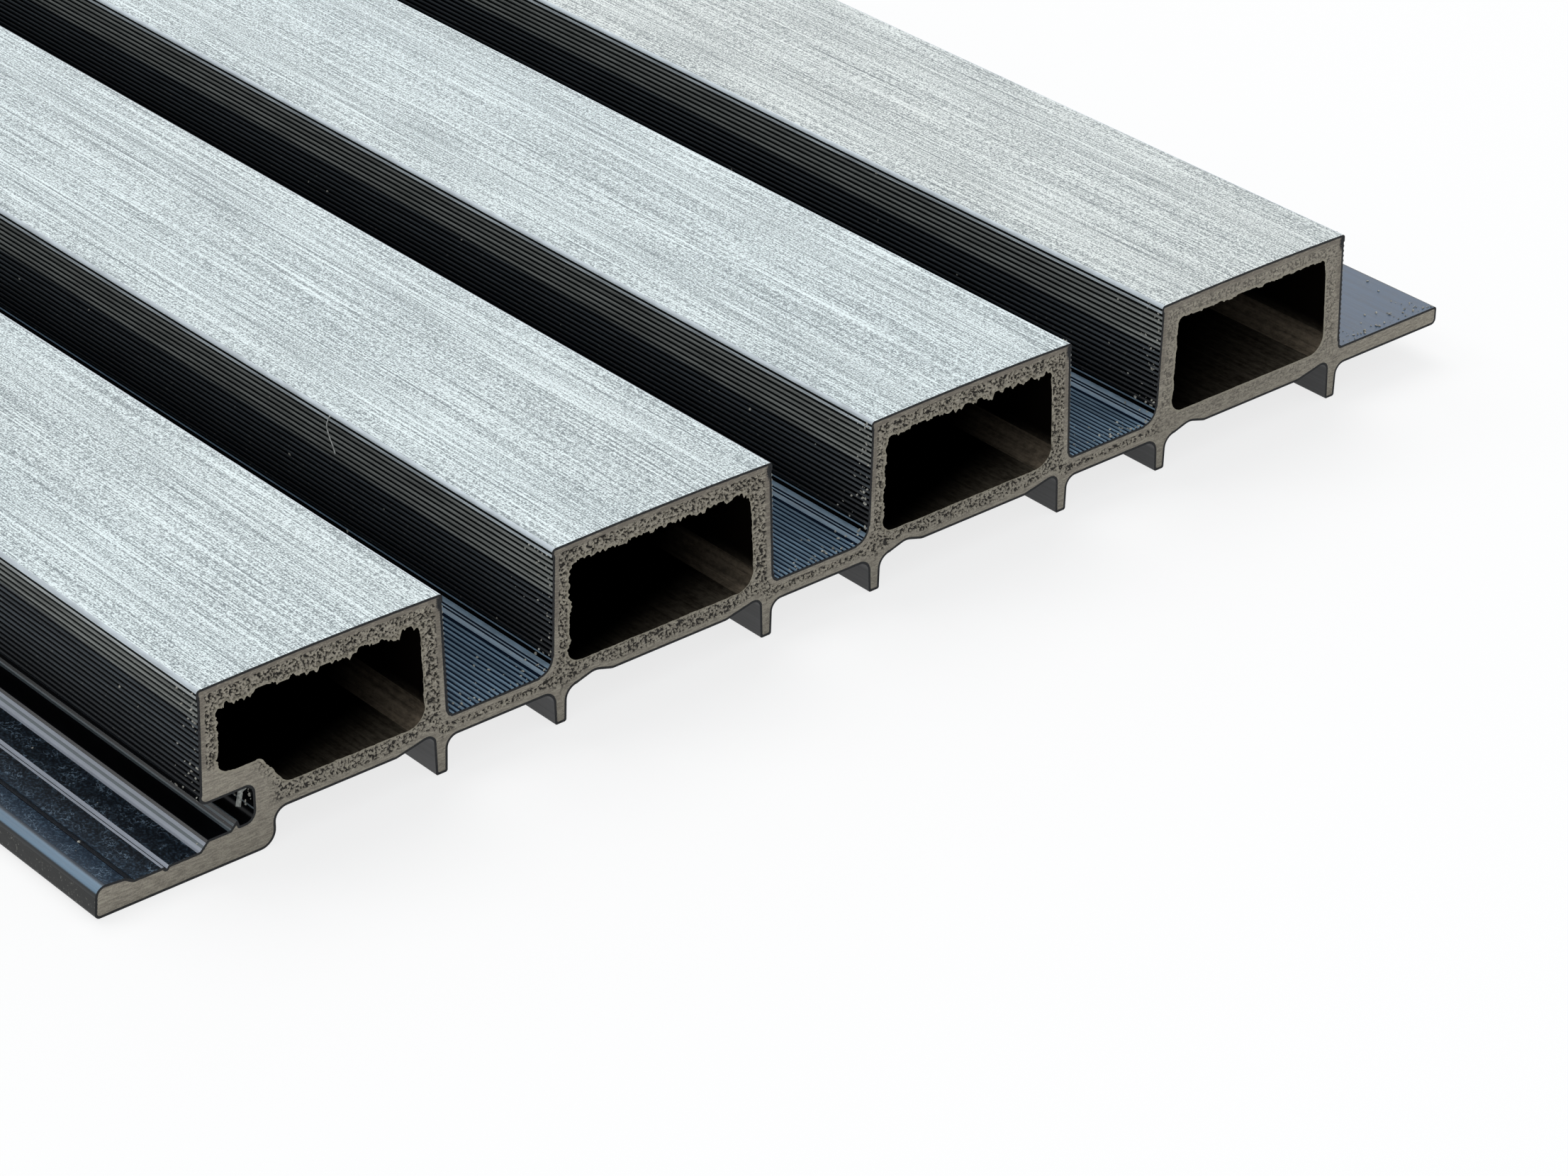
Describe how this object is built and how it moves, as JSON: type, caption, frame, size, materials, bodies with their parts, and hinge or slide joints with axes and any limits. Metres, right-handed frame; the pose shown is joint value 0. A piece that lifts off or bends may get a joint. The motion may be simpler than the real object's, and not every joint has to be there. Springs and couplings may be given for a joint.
{
  "type": "fluted cladding panel",
  "caption": "Hollow fluted cladding panel: one extruded length with raised square ribs, a fixing flange with an interlock slot and a flat lip.",
  "frame": {"origin": "middle of the panel's footprint, at the level of the feet that it lies on", "axes": "+X across the panel, from the fixing flange to the lip; +Y along its length; +Z out of the ribbed face"},
  "size_m": [0.219, 2.9, 0.0244],
  "materials": {
    "panel": "satin brushed cap over a brown-grey cellular core"
  },
  "bodies": {
    "root": {"fluted_panel": "panel"}
  },
  "joints": []
}
